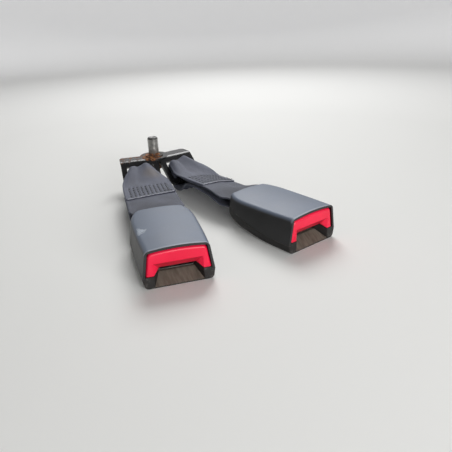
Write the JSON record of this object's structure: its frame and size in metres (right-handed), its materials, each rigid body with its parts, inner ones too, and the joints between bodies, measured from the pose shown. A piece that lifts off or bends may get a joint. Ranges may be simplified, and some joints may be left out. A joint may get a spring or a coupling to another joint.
{
  "type": "seat belt buckle",
  "caption": "Twin push-button belt buckle: moulded covers over a steel latch frame, on webbing loops from one stamped anchor bracket with its bolt.",
  "frame": {"origin": "on the anchor bolt's axis, on the shoulder face that seats against the vehicle", "axes": "+Z along the bolt towards its tip, -Y along the bisector of the two buckles, +X towards the right buckle seen from behind the bolt"},
  "size_m": [0.1624, 0.2258, 0.0521],
  "materials": {
    "cover": "grained moulded plastic, blue-grey",
    "button_red": "satin red moulded plastic",
    "steel": "zinc-plated pressed steel",
    "spring_steel": "oiled spring steel",
    "ejector_plastic": "black acetal",
    "webbing": "woven polyester webbing, grey-violet",
    "bracket_paint": "black painted steel, rusted at its edges",
    "bolt_steel": "dark phosphated steel, rust at its root",
    "washer": "rust-stained fibre washer"
  },
  "bodies": {
    "bracket": {"anchor_bracket": "bracket_paint"},
    "bolt": {"anchor_bolt": "bolt_steel", "captive_washer": "washer"},
    "left_strap": {"left_webbing": "webbing"},
    "left_buckle": {"left_upper_cover": "cover", "left_lower_cover": "cover", "left_frame": "steel", "left_latch_pin": "steel", "left_latch_spring": "spring_steel", "left_ejector_spring": "spring_steel", "left_button_spring": "spring_steel"},
    "left_button": {"left_button": "button_red"},
    "left_lock_bar": {"left_lock_bar": "steel"},
    "left_ejector": {"left_ejector": "ejector_plastic"},
    "left_latch": {"left_latch": "steel"},
    "right_strap": {"right_webbing": "webbing"},
    "right_buckle": {"right_upper_cover": "cover", "right_lower_cover": "cover", "right_frame": "steel", "right_latch_pin": "steel", "right_latch_spring": "spring_steel", "right_ejector_spring": "spring_steel", "right_button_spring": "spring_steel"},
    "right_button": {"right_button": "button_red"},
    "right_lock_bar": {"right_lock_bar": "steel"},
    "right_ejector": {"right_ejector": "ejector_plastic"},
    "right_latch": {"right_latch": "steel"}
  },
  "joints": [
    {"name": "bolt_spin", "type": "hinge", "parent": "bracket", "child": "bolt", "pos_m": [0, 0, 0], "axis": [0, 0, 1], "continuous": true},
    {"name": "left_strap_hinge", "type": "hinge", "parent": "bracket", "child": "left_strap", "pos_m": [-0.0235, -0.0302, -0.0237], "axis": [-0.9833, 0.1822, 0], "range_deg": [-30, 60]},
    {"name": "left_buckle_hinge", "type": "hinge", "parent": "left_strap", "child": "left_buckle", "pos_m": [-0.04446, -0.14327, -0.0155], "axis": [-0.9833, 0.1822, 0], "range_deg": [-5, 5]},
    {"name": "left_button_press", "type": "slide", "parent": "left_buckle", "child": "left_button", "axis": [0.1822, 0.9833, 0], "range_m": [0, 0.0055], "stiffness_N_per_m": 800, "springref_m": -0.003, "deforming": ["left_button_spring"]},
    {"name": "left_lock_bar_slide", "type": "slide", "parent": "left_buckle", "child": "left_lock_bar", "axis": [0.1822, 0.9833, 0], "range_m": [0, 0.0055]},
    {"name": "left_ejector_slide", "type": "slide", "parent": "left_buckle", "child": "left_ejector", "axis": [0.1822, 0.9833, 0], "range_m": [0, 0.011], "stiffness_N_per_m": 500, "springref_m": -0.004, "deforming": ["left_ejector_spring"]},
    {"name": "left_latch_tilt", "type": "hinge", "parent": "left_buckle", "child": "left_latch", "pos_m": [-0.04847, -0.16491, -0.018], "axis": [0.9833, -0.1822, 0], "range_deg": [0, 14]},
    {"name": "right_strap_hinge", "type": "hinge", "parent": "bracket", "child": "right_strap", "pos_m": [0.0235, -0.0302, -0.0237], "axis": [-0.9833, -0.1822, 0], "range_deg": [-30, 60]},
    {"name": "right_buckle_hinge", "type": "hinge", "parent": "right_strap", "child": "right_buckle", "pos_m": [0.04446, -0.14327, -0.0155], "axis": [-0.9833, -0.1822, 0], "range_deg": [-5, 5]},
    {"name": "right_button_press", "type": "slide", "parent": "right_buckle", "child": "right_button", "axis": [-0.1822, 0.9833, 0], "range_m": [0, 0.0055], "stiffness_N_per_m": 800, "springref_m": -0.003, "deforming": ["right_button_spring"]},
    {"name": "right_lock_bar_slide", "type": "slide", "parent": "right_buckle", "child": "right_lock_bar", "axis": [-0.1822, 0.9833, 0], "range_m": [0, 0.0055]},
    {"name": "right_ejector_slide", "type": "slide", "parent": "right_buckle", "child": "right_ejector", "axis": [-0.1822, 0.9833, 0], "range_m": [0, 0.011], "stiffness_N_per_m": 500, "springref_m": -0.004, "deforming": ["right_ejector_spring"]},
    {"name": "right_latch_tilt", "type": "hinge", "parent": "right_buckle", "child": "right_latch", "pos_m": [0.04847, -0.16491, -0.018], "axis": [0.9833, 0.1822, 0], "range_deg": [0, 14]}
  ],
  "couplings": [
    {"joint": "left_lock_bar_slide", "follows": "left_button_press", "ratio": 1},
    {"joint": "left_latch_tilt", "follows": "left_ejector_slide", "rad_per_m": 22.213},
    {"joint": "right_lock_bar_slide", "follows": "right_button_press", "ratio": 1},
    {"joint": "right_latch_tilt", "follows": "right_ejector_slide", "rad_per_m": 22.213}
  ]
}
